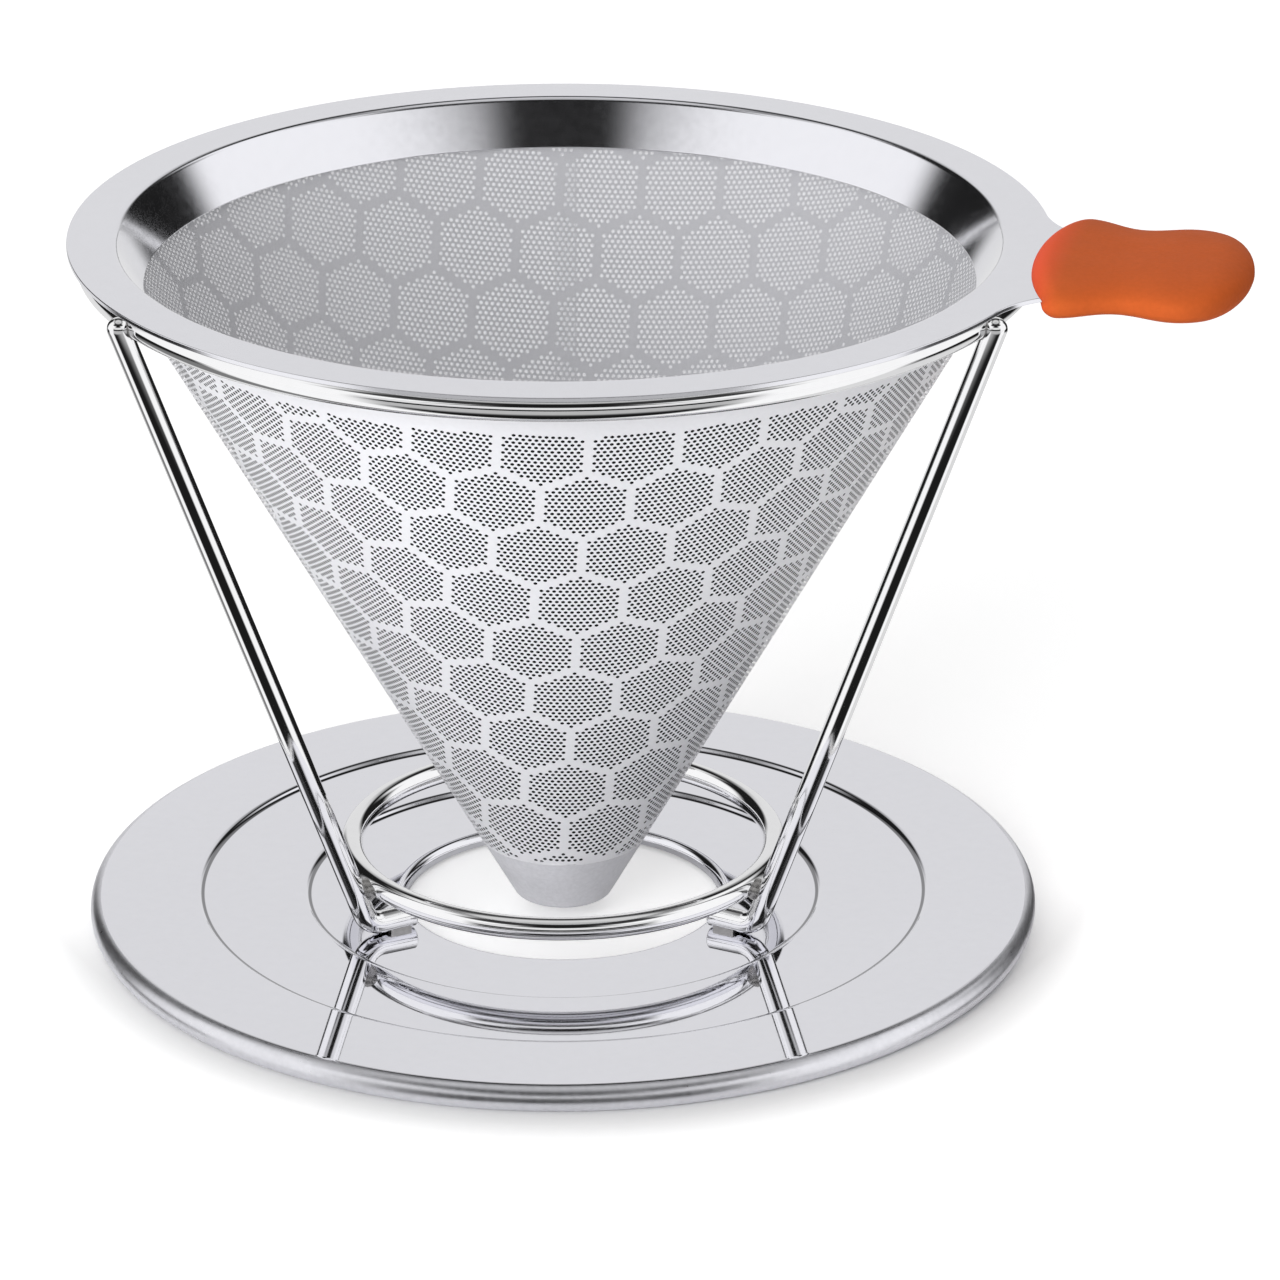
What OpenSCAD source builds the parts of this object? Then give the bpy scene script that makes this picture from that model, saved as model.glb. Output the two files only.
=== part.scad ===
// Pour over coffee dripper: a metal cone filter with a flanged rim and a soft grip,
// resting by its flange on a welded wire stand with a round drip plate.
// Origin on the axis at table level, +Z up, +X towards the grip.

/* [Filter rim] */
// Diameter of the mouth at the top face of the flange
mouth_d = 112.7; // [104:0.1:120]
// Width of the flat flange around the mouth
flange_w = 6.15; // [5.5:0.05:9]
// Sheet thickness of the flange and its plain band
rim_sheet = 0.6; // [0.5:0.05:0.8]
// Radius of the bend from the flange down into the band
rim_bend = 1; // [0.9:0.05:1.4]
// Depth of the plain band below the top face of the flange
band_depth = 6.2; // [4:0.1:12]

/* [Filter cone] */
// Depth of the filter from the top of the flange to the underside of the tip
filter_depth = 92.2; // [80:0.1:105]
// Inside diameter that the cone narrows to at the underside of the tip
tip_d = 8.9; // [6:0.1:14]
// Height of the solid tip cap
tip_h = 8.5; // [6:0.1:14]
// Wall thickness of the tip cap
tip_sheet = 0.6; // [0.5:0.05:0.9]
// Radius of the tip cap's lower edge
tip_round = 1.2; // [1:0.1:2]
// Thickness of the fine mesh lining
mesh_sheet = 0.25; // [0.2:0.05:0.4]
// Thickness of the perforated outer sheet
cone_sheet = 0.3; // [0.2:0.05:0.5]
// Gap between one layer of the filter and the next
layer_gap = 0.18; // [0.12:0.02:0.4]

/* [Grip] */
// Width of the flange's tongue inside the grip
tongue_w = 20; // [12:0.5:21]
// Length of the tongue beyond the flange
tongue_len = 21; // [16:0.5:22]
// Radius of the fillets from the flange into the tongue
tongue_fillet = 14; // [8:1:18]
// Chamfer on the tongue's end corners
tongue_chamfer = 4; // [2:0.5:6]
// Length of the grip along its middle
grip_len = 26.4; // [25.8:0.1:34]
// Thickness of the grip
grip_t = 5.6; // [4.6:0.1:7]
// Width of the grip near its root
grip_root_w = 32.6; // [31:0.2:36]
// Width of the grip at its waist
grip_waist_w = 27; // [25:0.2:30]
// Width of the grip near its end
grip_end_w = 29.4; // [27:0.2:32]
// How far the root corners stand back from the middle of the root
grip_root_bow = 4.6; // [2:0.2:6]
// How far the grip's upper half reaches over the flange beyond its lower half
grip_lap = 1; // [0:0.1:2]
// Depth of the thumb dip in the grip's faces
grip_dip = 0.35; // [0:0.05:0.6]
// Clearance between the tongue and its slot in the grip
slot_gap = 0.08; // [0.05:0.01:0.2]
// Clearance between the grip's root and the upper ring
grip_ring_gap = 0.5; // [0.4:0.1:2]

/* [Stand] */
// Diameter of the wire of legs and rings
wire_d = 3; // [2.5:0.1:4]
// Height of the tip's underside above the table
tip_lift = 2; // [1:0.1:8]
// Clearance between the cone and the upper ring around it
ring_gap = 1.7; // [0.6:0.1:2.4]
// Gap at rest between the flange and the upper ring that carries it
seat_gap = 0.2; // [0.15:0.05:0.3]
// How far the legs' axes lie outside the upper ring's axis
leg_set = 2.1; // [1.6:0.1:3]
// How far the legs' domed ends are centred below the upper ring's axis
leg_end_drop = 0.2; // [0:0.1:1]
// Diameter on which the legs' axes meet the axes of their feet
foot_corner_d = 58.3; // [54:0.1:62]
// Diameter on which the inner ends of the feet lie
foot_end_d = 45; // [44:0.5:46]
// Bend radius of the wire between leg and foot
foot_bend = 2.8; // [2.2:0.1:4]
// Height of the lower ring's axis above the feet's axes
lower_ring_rise = 5.6; // [4:0.1:12]
// Turn of the stand under the filter
stand_turn = 12.5; // [0:0.5:15]
// Gap that the welds bridge between two wires, or between foot and plate
weld_gap = 0.15; // [0.1:0.01:0.2]
// Diameter of the welds between the legs and the lower ring
weld_d = 3; // [2.4:0.1:3.4]
// Length of the weld between each foot and the plate
foot_weld_l = 3; // [2:0.1:3.6]

/* [Base plate] */
// Diameter of the base plate over its rolled edge
base_d = 125; // [110:1:140]
// Sheet thickness of the base plate
base_sheet = 0.8; // [0.6:0.05:0.9]
// Height of the rolled edge
edge_h = 3.6; // [3.4:0.1:6]
// Depth to which the rolled edge is flattened where it stands
edge_flat = 0.1; // [0.08:0.02:0.2]
// Outer diameter of the upper step pressed into the plate
outer_step_d = 96.8; // [84:0.2:104]
// Outer diameter of the lower step pressed into the plate
inner_step_d = 68.6; // [68:0.2:78]
// Drop of each step
step_drop = 0.75; // [0.5:0.05:0.85]
// Width of each step's slope
step_run = 0.7; // [0.5:0.05:1.2]
// Diameter of the drip hole
hole_d = 41.6; // [36:0.2:41.8]
// Radius of the turned-down lip of the drip hole
lip_round = 1.2; // [1:0.05:1.3]
// Height of the lip's lower edge above the table
lip_lift = 0.4; // [0.2:0.05:0.6]

/* [Hidden] */

$fn = 96;
steel = [0.78, 0.78, 0.8];
bright_steel = [0.86, 0.86, 0.88];
satin_steel = [0.7, 0.7, 0.73];
silicone = [0.78, 0.35, 0.14];

// Heights, from the table up
wire_r = wire_d / 2;
rim_top = tip_lift + filter_depth;
rim_under = rim_top - rim_sheet;
upper_ring_z = rim_under - seat_gap - wire_r;
tip_top = tip_lift + tip_h;
roll_r = edge_h / 2;
roll_z = roll_r - edge_flat;
roll_x = base_d / 2 - roll_r;
plate_outer_z = roll_z + roll_r;
plate_mid_z = plate_outer_z - step_drop;
plate_inner_z = plate_mid_z - step_drop;
// The lip may be no rounder than the height of the plate above its lower edge
lip_bend = min(lip_round, plate_inner_z - lip_lift - 0.1);
foot_z = plate_inner_z + weld_gap + wire_r;
lower_ring_z = foot_z + lower_ring_rise;

// Cone: the band's inner face runs from the mouth to the tip, and the layers lie outside it
mouth_r = mouth_d / 2;
rim_r = mouth_r + flange_w;
half_angle = atan((mouth_r - tip_d / 2) / filter_depth);
// Radius where the flat flange ends and its bend begins
flat_r = mouth_r + rim_bend * tan((90 - half_angle) / 2);
mesh_in = rim_sheet + layer_gap;
cone_in = mesh_in + mesh_sheet + layer_gap;
cone_out = cone_in + cone_sheet;
// Clear height left above the mesh lining, under the bend of the flange
mesh_top_gap = 0.4;
// Radius of the cone's face that lies a given distance outside the band's inner face
function cone_r(z, out) = mouth_r - (rim_top - z) * tan(half_angle) + out / cos(half_angle);

// Rings and legs
upper_ring_r = cone_r(upper_ring_z, cone_out) + ring_gap + wire_r;
foot_corner_r = foot_corner_d / 2;
leg_tilt = atan((upper_ring_r + leg_set - foot_corner_r) / (upper_ring_z - foot_z));
function leg_r(z) = foot_corner_r + (z - foot_z) * tan(leg_tilt);
lower_ring_r = leg_r(lower_ring_z) - (wire_d + weld_gap) / cos(leg_tilt);
// The bend between foot and leg: its turn, its centre and where the straight leg starts
bend_turn = 90 - leg_tilt;
bend_x = foot_corner_r - foot_bend * tan(bend_turn / 2);
bend_z = foot_z + foot_bend;
leg_start = [bend_x + foot_bend * cos(leg_tilt), bend_z - foot_bend * sin(leg_tilt)];
// Lap of the straights into the bend, and how much thinner the drawn wire is in the bend
bend_lap = 0.2;
bend_thin = 0.02;
// Length of the foot's straight before the bend
foot_run = bend_x - foot_end_d / 2;
rear_turn = 90 + stand_turn;
left_turn = 210 + stand_turn;
right_turn = 330 + stand_turn;
leg_turns = [left_turn, right_turn, rear_turn];

// Grip
tongue_z = rim_top - rim_sheet / 2;
tongue_end = rim_r + tongue_len;
grip_root = upper_ring_r + wire_r + grip_ring_gap;
// Stations along the grip, as shares of its length: widest root, waist, widest end
root_at = 0.06;
waist_at = 0.42;
end_at = 0.67;
// Share of the width left at the very root, and share of the thickness left there
root_corner = 0.965;
root_edge = 0.55;
// Lengths over which the root and the end round off in thickness
root_roll = 2.2;
end_roll = 5;
// Power by which the upper half's lap over the flange dies out along the grip
lap_power = 6;
// Squareness of the grip's cross-section
grip_power = 2 / 2.7;
grip_rings = 22;
grip_sides = 36;

// A ring of wire about the axis
module wire_ring(r, z, wire) {
    rotate_extrude()
        translate([r, z]) circle(wire);
}

// A closed conical layer between two distances outside the band's inner face
module cone_layer(inner, outer, low, high) {
    rotate_extrude()
        polygon([
            [cone_r(low, inner), low],
            [cone_r(low, outer), low],
            [cone_r(high, outer), high],
            [cone_r(high, inner), high]
        ]);
}

// Plan radii and heights along the plate, from the drip hole out to the rolled edge
function plate_line(drop) = [
    [hole_d / 2 + drop, plate_inner_z - drop],
    [inner_step_d / 2 - step_run, plate_inner_z - drop],
    [inner_step_d / 2, plate_mid_z - drop],
    [outer_step_d / 2 - step_run, plate_mid_z - drop],
    [outer_step_d / 2, plate_outer_z - drop],
    [base_d / 2 - drop, plate_outer_z - drop],
    [base_d / 2 - drop, roll_z - roll_r + drop],
    [roll_x - roll_r + drop, roll_z - roll_r + drop]
];

// What lies outside the round of the drip hole's lip, on the top or the under face of the sheet
module lip_corner(wall) {
    x = hole_d / 2 + lip_bend;
    z = plate_inner_z - lip_bend;
    difference() {
        translate([x - edge_h, z]) square(edge_h);
        translate([x, z]) circle(lip_bend - wall);
    }
}

// What lies outside three quarters of the round of the rolled edge
module roll_corner(wall) {
    difference() {
        translate([roll_x - edge_h * 0.8, -edge_h]) square(3 * edge_h);
        translate([roll_x - 4 * edge_h, roll_z]) square(4 * edge_h);
        translate([roll_x, roll_z]) circle(roll_r - wall);
    }
}

// Section of the plate: stepped sheet, turned down at the hole and curled under at its edge
module plate_section() {
    step_x = outer_step_d / 2 + step_run;
    inner_x = roll_x - edge_h;
    difference() {
        polygon(concat(
            plate_line(0),
            [[roll_x - roll_r, roll_z + 0.2], [step_x, roll_z + 0.2]],
            [[step_x, lip_lift], [hole_d / 2, lip_lift]]
        ));
        lip_corner(0);
        roll_corner(0);
        difference() {
            polygon(concat(
                plate_line(base_sheet),
                [[roll_x - roll_r + base_sheet, roll_z], [inner_x, roll_z]],
                [[inner_x, -edge_h], [hole_d / 2 + base_sheet, -edge_h]]
            ));
            lip_corner(base_sheet);
            roll_corner(base_sheet);
        }
        translate([0, -edge_h]) square([base_d, edge_h]);
    }
}

module base_plate() {
    color(bright_steel)
        rotate_extrude() plate_section();
}

module upper_ring() {
    color(steel) wire_ring(upper_ring_r, upper_ring_z, wire_r);
}

module lower_ring() {
    color(steel) wire_ring(lower_ring_r, lower_ring_z, wire_r);
}

// The straight of a leg in the XZ plane, with a domed end, from where the bend stops
module leg_straight() {
    run = (upper_ring_z - leg_end_drop - leg_start[1]) / cos(leg_tilt);
    translate([leg_start[0], 0, leg_start[1]]) rotate([0, leg_tilt, 0])
        rotate_extrude()
            difference() {
                union() {
                    translate([-wire_r, -bend_lap]) square([wire_d, run + bend_lap]);
                    translate([0, run]) circle(wire_r);
                }
                translate([-wire_d, -wire_d]) square([wire_d, run + 3 * wire_d]);
            }
}

// The foot of a leg, along the plate
module leg_foot() {
    translate([foot_end_d / 2, 0, foot_z]) rotate([0, 90, 0])
        cylinder(r = wire_r, h = foot_run + bend_lap);
}

// A whole leg in the XZ plane: the bend is drawn a little thinner than the wire
module leg_wire() {
    leg_foot();
    translate([bend_x, 0, bend_z]) rotate([90, 0, 0])
        rotate_extrude(angle = bend_turn, start = -90)
            translate([foot_bend, 0]) circle(wire_r - bend_thin);
    leg_straight();
}

// A leg coped round the upper ring, leaving the gap that the weld fills
module leg(turn) {
    color(steel)
        rotate([0, 0, turn])
            difference() {
                leg_wire();
                wire_ring(upper_ring_r, upper_ring_z, wire_r + weld_gap);
            }
}

module leg_left() { leg(left_turn); }
module leg_right() { leg(right_turn); }
module leg_rear() { leg(rear_turn); }

// A seam of weld on each leg, filling the cope round the upper ring
module upper_ring_welds() {
    $fn = 300;
    color(satin_steel)
        for (turn = leg_turns)
            rotate([0, 0, turn])
                difference() {
                    intersection() {
                        leg_straight();
                        wire_ring(upper_ring_r, upper_ring_z, wire_r + weld_gap);
                    }
                    wire_ring(upper_ring_r, upper_ring_z, wire_r);
                }
}

// A round weld on each leg, between the leg and the lower ring beside it
module lower_ring_welds() {
    $fn = 300;
    reach = wire_r + weld_gap / 2;
    x = lower_ring_r + reach * cos(leg_tilt);
    z = lower_ring_z - reach * sin(leg_tilt);
    color(satin_steel)
        for (turn = leg_turns)
            rotate([0, 0, turn])
                difference() {
                    translate([x, 0, z]) sphere(d = weld_d);
                    leg_straight();
                    wire_ring(lower_ring_r, lower_ring_z, wire_r);
                }
}

// A pad of weld between each foot and the plate, in the middle of the foot's straight
module foot_welds() {
    width = wire_r * 1.4;
    height = wire_r * 0.4;
    color(satin_steel)
        for (turn = leg_turns)
            rotate([0, 0, turn])
                translate([bend_x - (foot_run + foot_weld_l) / 2, 0, 0])
                    difference() {
                        translate([0, -width / 2, plate_inner_z]) cube([foot_weld_l, width, height]);
                        translate([-wire_d, 0, foot_z]) rotate([0, 90, 0])
                            cylinder(r = wire_r, h = foot_weld_l + 2 * wire_d);
                    }
}

// Plan of the flange with its tongue, grown by a clearance
module flange_plan(grow) {
    fillet = tongue_fillet - grow;
    half = tongue_w / 2 + grow;
    round_r = rim_r + grow;
    end = tongue_end + grow;
    center = [sqrt((round_r + fillet) ^ 2 - (half + fillet) ^ 2), half + fillet];
    on_rim = center * round_r / (round_r + fillet);
    circle(round_r);
    for (side = [0, 1])
        mirror([0, side])
            difference() {
                polygon([[0, 0], on_rim, center, [center[0], 0]]);
                translate(center) circle(fillet);
            }
    polygon([
        [rim_r / 2, -half],
        [end - tongue_chamfer, -half],
        [end, -half + tongue_chamfer],
        [end, half - tongue_chamfer],
        [end - tongue_chamfer, half],
        [rim_r / 2, half]
    ]);
}

// Section of the band with its bend, which meets the flat flange on flat_r
module band_section() {
    turn = 90 - half_angle;
    low = rim_top - band_depth;
    bend_at = [flat_r, rim_top - rim_bend];
    difference() {
        translate(bend_at) circle(rim_bend);
        translate(bend_at) circle(rim_bend - rim_sheet);
        translate(bend_at) polygon([
            [0, 0],
            2 * rim_bend * [cos(90 + turn), sin(90 + turn)],
            2 * rim_bend * [-1, -1],
            2 * rim_bend * [2, -1],
            2 * rim_bend * [2, 1],
            [0, 2 * rim_bend]
        ]);
    }
    inner = bend_at + rim_bend * [-cos(half_angle), sin(half_angle)];
    outer = bend_at + (rim_bend - rim_sheet) * [-cos(half_angle), sin(half_angle)];
    polygon([inner, outer, [cone_r(low, rim_sheet), low], [cone_r(low, 0), low]]);
}

module rim_flange() {
    color(bright_steel) {
        translate([0, 0, rim_under])
            linear_extrude(rim_sheet)
                difference() {
                    flange_plan(0);
                    circle(flat_r);
                }
        rotate_extrude() band_section();
    }
}

module mesh_lining() {
    color(satin_steel)
        cone_layer(mesh_in, mesh_in + mesh_sheet, tip_top + layer_gap, rim_under - mesh_top_gap);
}

module perforated_cone() {
    color(steel) cone_layer(cone_in, cone_out, tip_top, rim_under);
}

// Section of a rounded cup: a cone with a flat end at height low and a round lower edge
module cup_section(out, low, edge) {
    high = tip_top;
    mid = [cone_r(low + edge, out) - edge / cos(half_angle), low + edge];
    on_side = mid + edge * [cos(half_angle), -sin(half_angle)];
    polygon([[0, low], [mid[0], low], on_side, [cone_r(high, out), high], [0, high]]);
    translate(mid) circle(edge);
}

module tip_cap() {
    color(satin_steel)
        rotate_extrude()
            difference() {
                cup_section(cone_out, tip_lift, tip_round);
                cup_section(cone_out - tip_sheet, tip_lift + tip_sheet, tip_round - tip_sheet / 2);
                translate([0, tip_top]) square([mouth_r, tip_h]);
            }
}

// Smooth step from a to b as s goes from 0 to 1
function ease(a, b, s) = a + (b - a) * (1 - cos(180 * s)) / 2;
function signed_power(x) = sign(x) * pow(abs(x), grip_power);

// Half-width of the grip at share u of its length
function grip_half(u) =
    u < root_at ? grip_root_w / 2 * (1 - (1 - root_corner) * (1 - u / root_at) ^ 2) :
    u < waist_at ? ease(grip_root_w, grip_waist_w, (u - root_at) / (waist_at - root_at)) / 2 :
    u < end_at ? ease(grip_waist_w, grip_end_w, (u - waist_at) / (end_at - waist_at)) / 2 :
    grip_end_w / 2 * sqrt(1 - ((u - end_at) / (1 - end_at)) ^ 2);

// Half-thickness of the grip at share u of its length: rounded at both ends, dipped at the waist
function grip_rise(u) =
    let (from_root = u * grip_len / root_roll, to_end = (1 - u) * grip_len / end_roll)
    let (root = from_root < 1 ? root_edge + (1 - root_edge) * sqrt(1 - (1 - from_root) ^ 2) : 1)
    let (end = to_end < 1 ? sqrt(1 - (1 - to_end) ^ 2) : 1)
    let (dip = u < end_at ? grip_dip * (1 - cos(360 * u / end_at)) / 2 : 0)
    (grip_t / 2 - dip) * root * end;

// Point of the grip's surface at share u of its length and angle v about its middle
function grip_point(u, v) =
    let (y = grip_half(u) * signed_power(cos(v)), z = grip_rise(u) * signed_power(sin(v)))
    let (bow = grip_root_bow * (1 - u) ^ 2 * (2 * y / grip_root_w) ^ 2)
    let (lap = grip_lap * (1 - u) ^ lap_power * max(0, signed_power(sin(v))))
    [grip_root + grip_len * u + bow - lap, y, tongue_z + z];

// Shares of the length, closer together at both ends
function grip_share(i) = (1 - cos(180 * i / grip_rings)) / 2;

module grip_body() {
    points = concat(
        [for (i = [0:grip_rings - 1], j = [0:grip_sides - 1])
            grip_point(grip_share(i), 360 * j / grip_sides)],
        [[grip_root, 0, tongue_z], [grip_root + grip_len, 0, tongue_z]]
    );
    root = grip_rings * grip_sides;
    last = (grip_rings - 1) * grip_sides;
    around = [for (j = [0:grip_sides - 1]) [j, (j + 1) % grip_sides]];
    sides = [for (i = [0:grip_rings - 2], a = around)
        let (p = i * grip_sides, q = (i + 1) * grip_sides)
        each [[p + a[0], p + a[1], q + a[1]], [p + a[0], q + a[1], q + a[0]]]];
    root_fan = [for (a = around) [root, a[1], a[0]]];
    end_fan = [for (a = around) [root + 1, last + a[0], last + a[1]]];
    polyhedron(points, concat(sides, root_fan, end_fan));
}

module grip_sleeve() {
    color(silicone)
        difference() {
            grip_body();
            translate([0, 0, rim_under - slot_gap])
                linear_extrude(rim_sheet + 2 * slot_gap) flange_plan(slot_gap);
        }
}

base_plate();
upper_ring();
lower_ring();
leg_left();
leg_right();
leg_rear();
upper_ring_welds();
lower_ring_welds();
foot_welds();
rim_flange();
mesh_lining();
perforated_cone();
tip_cap();
grip_sleeve();
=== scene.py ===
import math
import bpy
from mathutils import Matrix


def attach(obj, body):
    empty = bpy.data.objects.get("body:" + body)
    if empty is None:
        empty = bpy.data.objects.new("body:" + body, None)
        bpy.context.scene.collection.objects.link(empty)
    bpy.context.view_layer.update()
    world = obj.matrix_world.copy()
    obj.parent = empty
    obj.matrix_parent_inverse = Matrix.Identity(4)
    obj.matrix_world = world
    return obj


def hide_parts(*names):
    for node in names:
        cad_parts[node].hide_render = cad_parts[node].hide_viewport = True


bl_info = {
    "name": "Pour over dripper",
    "version": (1, 0, 0),
    "blender": (4, 5, 0),
    "location": "View3D > Sidebar > Dripper",
    "description": "Dresses the solids of a pour over dripper and sets its studio",
    "category": "Object",
}

import bpy
import numpy as np
from bpy.props import FloatProperty, FloatVectorProperty, IntProperty, PointerProperty
from mathutils import Vector

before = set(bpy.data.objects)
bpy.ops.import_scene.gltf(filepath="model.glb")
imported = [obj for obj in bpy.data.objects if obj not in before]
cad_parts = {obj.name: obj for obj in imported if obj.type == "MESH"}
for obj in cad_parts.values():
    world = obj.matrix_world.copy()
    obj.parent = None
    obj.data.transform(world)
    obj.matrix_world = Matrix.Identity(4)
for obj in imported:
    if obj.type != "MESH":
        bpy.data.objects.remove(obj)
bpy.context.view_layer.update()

MM = 0.001
TAU = 2 * math.pi
# The plate's creases keep this share of their colour: a painted shade.
CREASE_PAINTED_SHADE = 0.3  # colour left in the plate's creases


def length(name, text, mm):
    """A size in millimetres, kept as a length property in metres."""
    return FloatProperty(name=name, description=text, default=mm * MM, min=0.0, unit="LENGTH", precision=5)


def angle(name, text, degrees):
    """An angle in degrees, kept as an angle property in radians."""
    return FloatProperty(name=name, description=text, default=math.radians(degrees), subtype="ANGLE")


def colour(name, text, rgb):
    """A colour property."""
    return FloatVectorProperty(
        name=name, description=text, default=rgb, size=3, min=0.0, max=1.0, subtype="COLOR"
    )


def spot(name, text, place):
    """A place in metres."""
    return FloatVectorProperty(
        name=name, description=text, default=place, size=3, subtype="TRANSLATION", unit="LENGTH"
    )


def pair(name, text, sizes):
    """Two sizes in millimetres, kept in metres."""
    return FloatVectorProperty(
        name=name, description=text, default=[mm * MM for mm in sizes], size=2, unit="LENGTH", precision=5
    )


class DripperStand(bpy.types.PropertyGroup):
    """Sizes of the wire stand and its plate."""

    plate_r: length("Plate radius", "Radius of the base plate over its rolled edge", 62.5)
    plate_top: length("Plate height", "Height of the plate's outer ring", 3.5)
    plate_sheet: length("Plate sheet", "Sheet thickness of the plate", 0.8)
    roll_r: length("Rolled edge", "Radius of the plate's rolled edge", 1.8)
    outer_step_r: length("Outer step", "Radius of the outer step", 48.4)
    inner_step_r: length("Inner step", "Radius of the inner step", 34.3)
    step_drop: length("Step drop", "Drop of each step towards the hole", 0.75)
    step_run: length("Step run", "Width of each step's slope", 0.7)
    ring_fall: length("Ring fall", "Fall of each of the plate's rings towards the hole", 0.18)
    step_round: length("Step rounding", "Radius of the steps' edges", 1.1)
    hole_r: length("Drip hole", "Radius of the drip hole", 20.8)
    lip_round: length("Lip rounding", "Radius of the lip around the drip hole", 1.2)
    lip_lift: length("Lip height", "Height of the lip's lower edge", 0.4)
    wire_r: length("Wire radius", "Radius of the wire", 1.5)
    upper_ring_r: length("Upper ring", "Radius of the upper ring's axis", 59.988)
    upper_ring_z: length("Upper ring height", "Height of the upper ring's axis", 91.9)
    lower_ring_r: length("Lower ring", "Radius of the lower ring's axis", 27.878)
    lower_ring_z: length("Lower ring height", "Height of the lower ring's axis", 9.25)
    leg_set: length("Leg offset", "How far the legs lie outside the upper ring's axis", 2.1)
    leg_drop: length("Leg end", "How far the legs' domed ends lie below the ring's axis", 0.2)
    foot_corner_r: length("Foot corner", "Radius where legs and feet would meet", 29.15)
    foot_end_r: length("Foot end", "Radius of the feet's inner ends", 22.5)
    foot_z: length("Foot height", "Height of the feet's axes", 3.65)
    foot_bend: length("Foot bend", "Bend radius between foot and leg", 2.8)
    stand_turn: angle("Stand turn", "Turn of the stand under the filter", 12.5)


class DripperFilter(bpy.types.PropertyGroup):
    """Sizes of the cone filter and its grip."""

    rim_r: length("Rim radius", "Outer radius of the flange", 62.5)
    rim_top: length("Rim height", "Height of the flange's top face", 94.2)
    rim_sheet: length("Rim sheet", "Sheet thickness of the flange and band", 0.6)
    mouth_r: length("Mouth radius", "Radius of the mouth at the top of the flange", 56.35)
    rim_bend: length("Rim bend", "Radius of the bend into the band", 1.0)
    band_depth: length("Band depth", "Depth of the plain band", 6.2)
    depth: length("Filter depth", "Depth from the flange to the tip", 92.2)
    tip_in_r: length("Tip radius", "Radius that the band's inner face would narrow to at the tip", 4.45)
    tip_h: length("Tip height", "Height of the tip cap", 8.5)
    tip_round: length("Tip rounding", "Radius of the tip's lower edge", 1.2)
    tip_sheet: length("Tip sheet", "Wall of the tip cap", 0.6)
    mesh_out: length("Lining", "Distance of the lining from the band's inner face", 0.78)
    mesh_sheet: length("Lining sheet", "Thickness of the lining", 0.25)
    mesh_lift: length("Lining lift", "Height of the lining's lower edge over the tip cap", 0.18)
    mesh_short: length("Lining top", "How far the lining ends below the flange", 0.4)
    cone_out: length("Wall", "Distance of the cone's outer face from the band's inner face", 1.51)
    comb_w: length("Comb width", "Width of one cell of the honeycomb", 11.03)
    comb_turn: angle("Comb turn", "Turn of the honeycomb in the flat front half", 2.685)
    comb_turn_back: angle("Comb turn, back", "Turn of the honeycomb in the flat back half", -3.229)
    comb_start: pair("Comb start", "Centre of one cell in the flat front half", (-0.976, -0.240))
    comb_start_back: pair("Comb start, back", "Centre of one cell in the flat back half", (1.554, 8.958))
    comb_holes: IntProperty(
        name="Holes across", description="Hole pitches across one cell", default=14, min=6, max=20
    )
    comb_margin: length("Comb margin", "Plain width along the cone's lower edge and seams", 0.6)
    comb_border: length("Comb border", "Plain width on each side of a cell's edge", 0.5)
    hole_r: length("Hole radius", "Corner radius of the fine holes", 0.265)
    plain_top: length("Plain top", "Height above which the front half is plain", 86.15)
    plain_top_back: length("Plain top, back", "Height above which the back half is plain", 88.3)
    comb_front: angle("Comb front", "Direction that the middle of the front half faces", -77.5)
    tongue_half: length("Tongue", "Half the width of the flange's tongue", 10.0)
    tongue_end: length("Tongue end", "Reach of the tongue", 83.5)
    tongue_fillet: length("Tongue fillet", "Radius between flange and tongue", 14.0)
    grip_root: length("Grip root", "Where the grip's root lies", 61.988)
    grip_len: length("Grip length", "Length of the grip", 26.4)
    grip_t: length("Grip thickness", "Thickness of the grip", 5.6)
    grip_root_w: length("Root width", "Width of the grip near its root", 32.6)
    grip_waist_w: length("Waist width", "Width of the grip at its waist", 27.0)
    grip_end_w: length("End width", "Width of the grip near its end", 29.4)
    grip_bow: length("Root bow", "How far the root's corners stand back", 3.5)
    grip_lap: length("Root lap", "How far the upper half reaches over the flange beyond the lower half", 1.0)
    grip_line: length("Parting line", "Height of the parting line low on the grip's sides", 0.12)
    grip_dip: length("Thumb dip", "Depth of the thumb dip", 0.35)


class DripperFinish(bpy.types.PropertyGroup):
    """Colours of the finishes, and the size of their marks."""

    polished: colour("Polished sheet", "Colour of flange and plate", (0.86, 0.86, 0.905))
    wire: colour("Wire", "Colour of the wire", (0.93, 0.93, 0.94))
    satin: colour("Satin sheet", "Colour of the perforated cone", (0.90, 0.90, 0.935))
    matt: colour("Matt steel", "Colour of the tip", (0.80, 0.80, 0.84))
    weld: colour("Weld", "Colour of the welds", (0.52, 0.51, 0.50))
    mesh_face: colour("Lining", "Colour of the lining seen from inside", (0.60, 0.60, 0.635))
    # Near black: a painted shade for the gap behind the cone's holes.
    mesh_back_painted_shade: colour("Lining back", "Colour of the lining seen through the holes", (0.012, 0.012, 0.014))
    grip: colour("Grip", "Colour of the silicone", (0.62, 0.118, 0.026))
    grip_flush: colour("Grip root", "Colour of the silicone at its root", (0.86, 0.10, 0.04))
    floor: colour("Floor", "Colour of the floor", (0.88, 0.88, 0.88))
    # Half width of the painted shade in the crease at the foot of each step of the plate.
    crease: length("Crease", "Half width of the dull crease at the foot of each step of the plate", 0.28)


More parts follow.
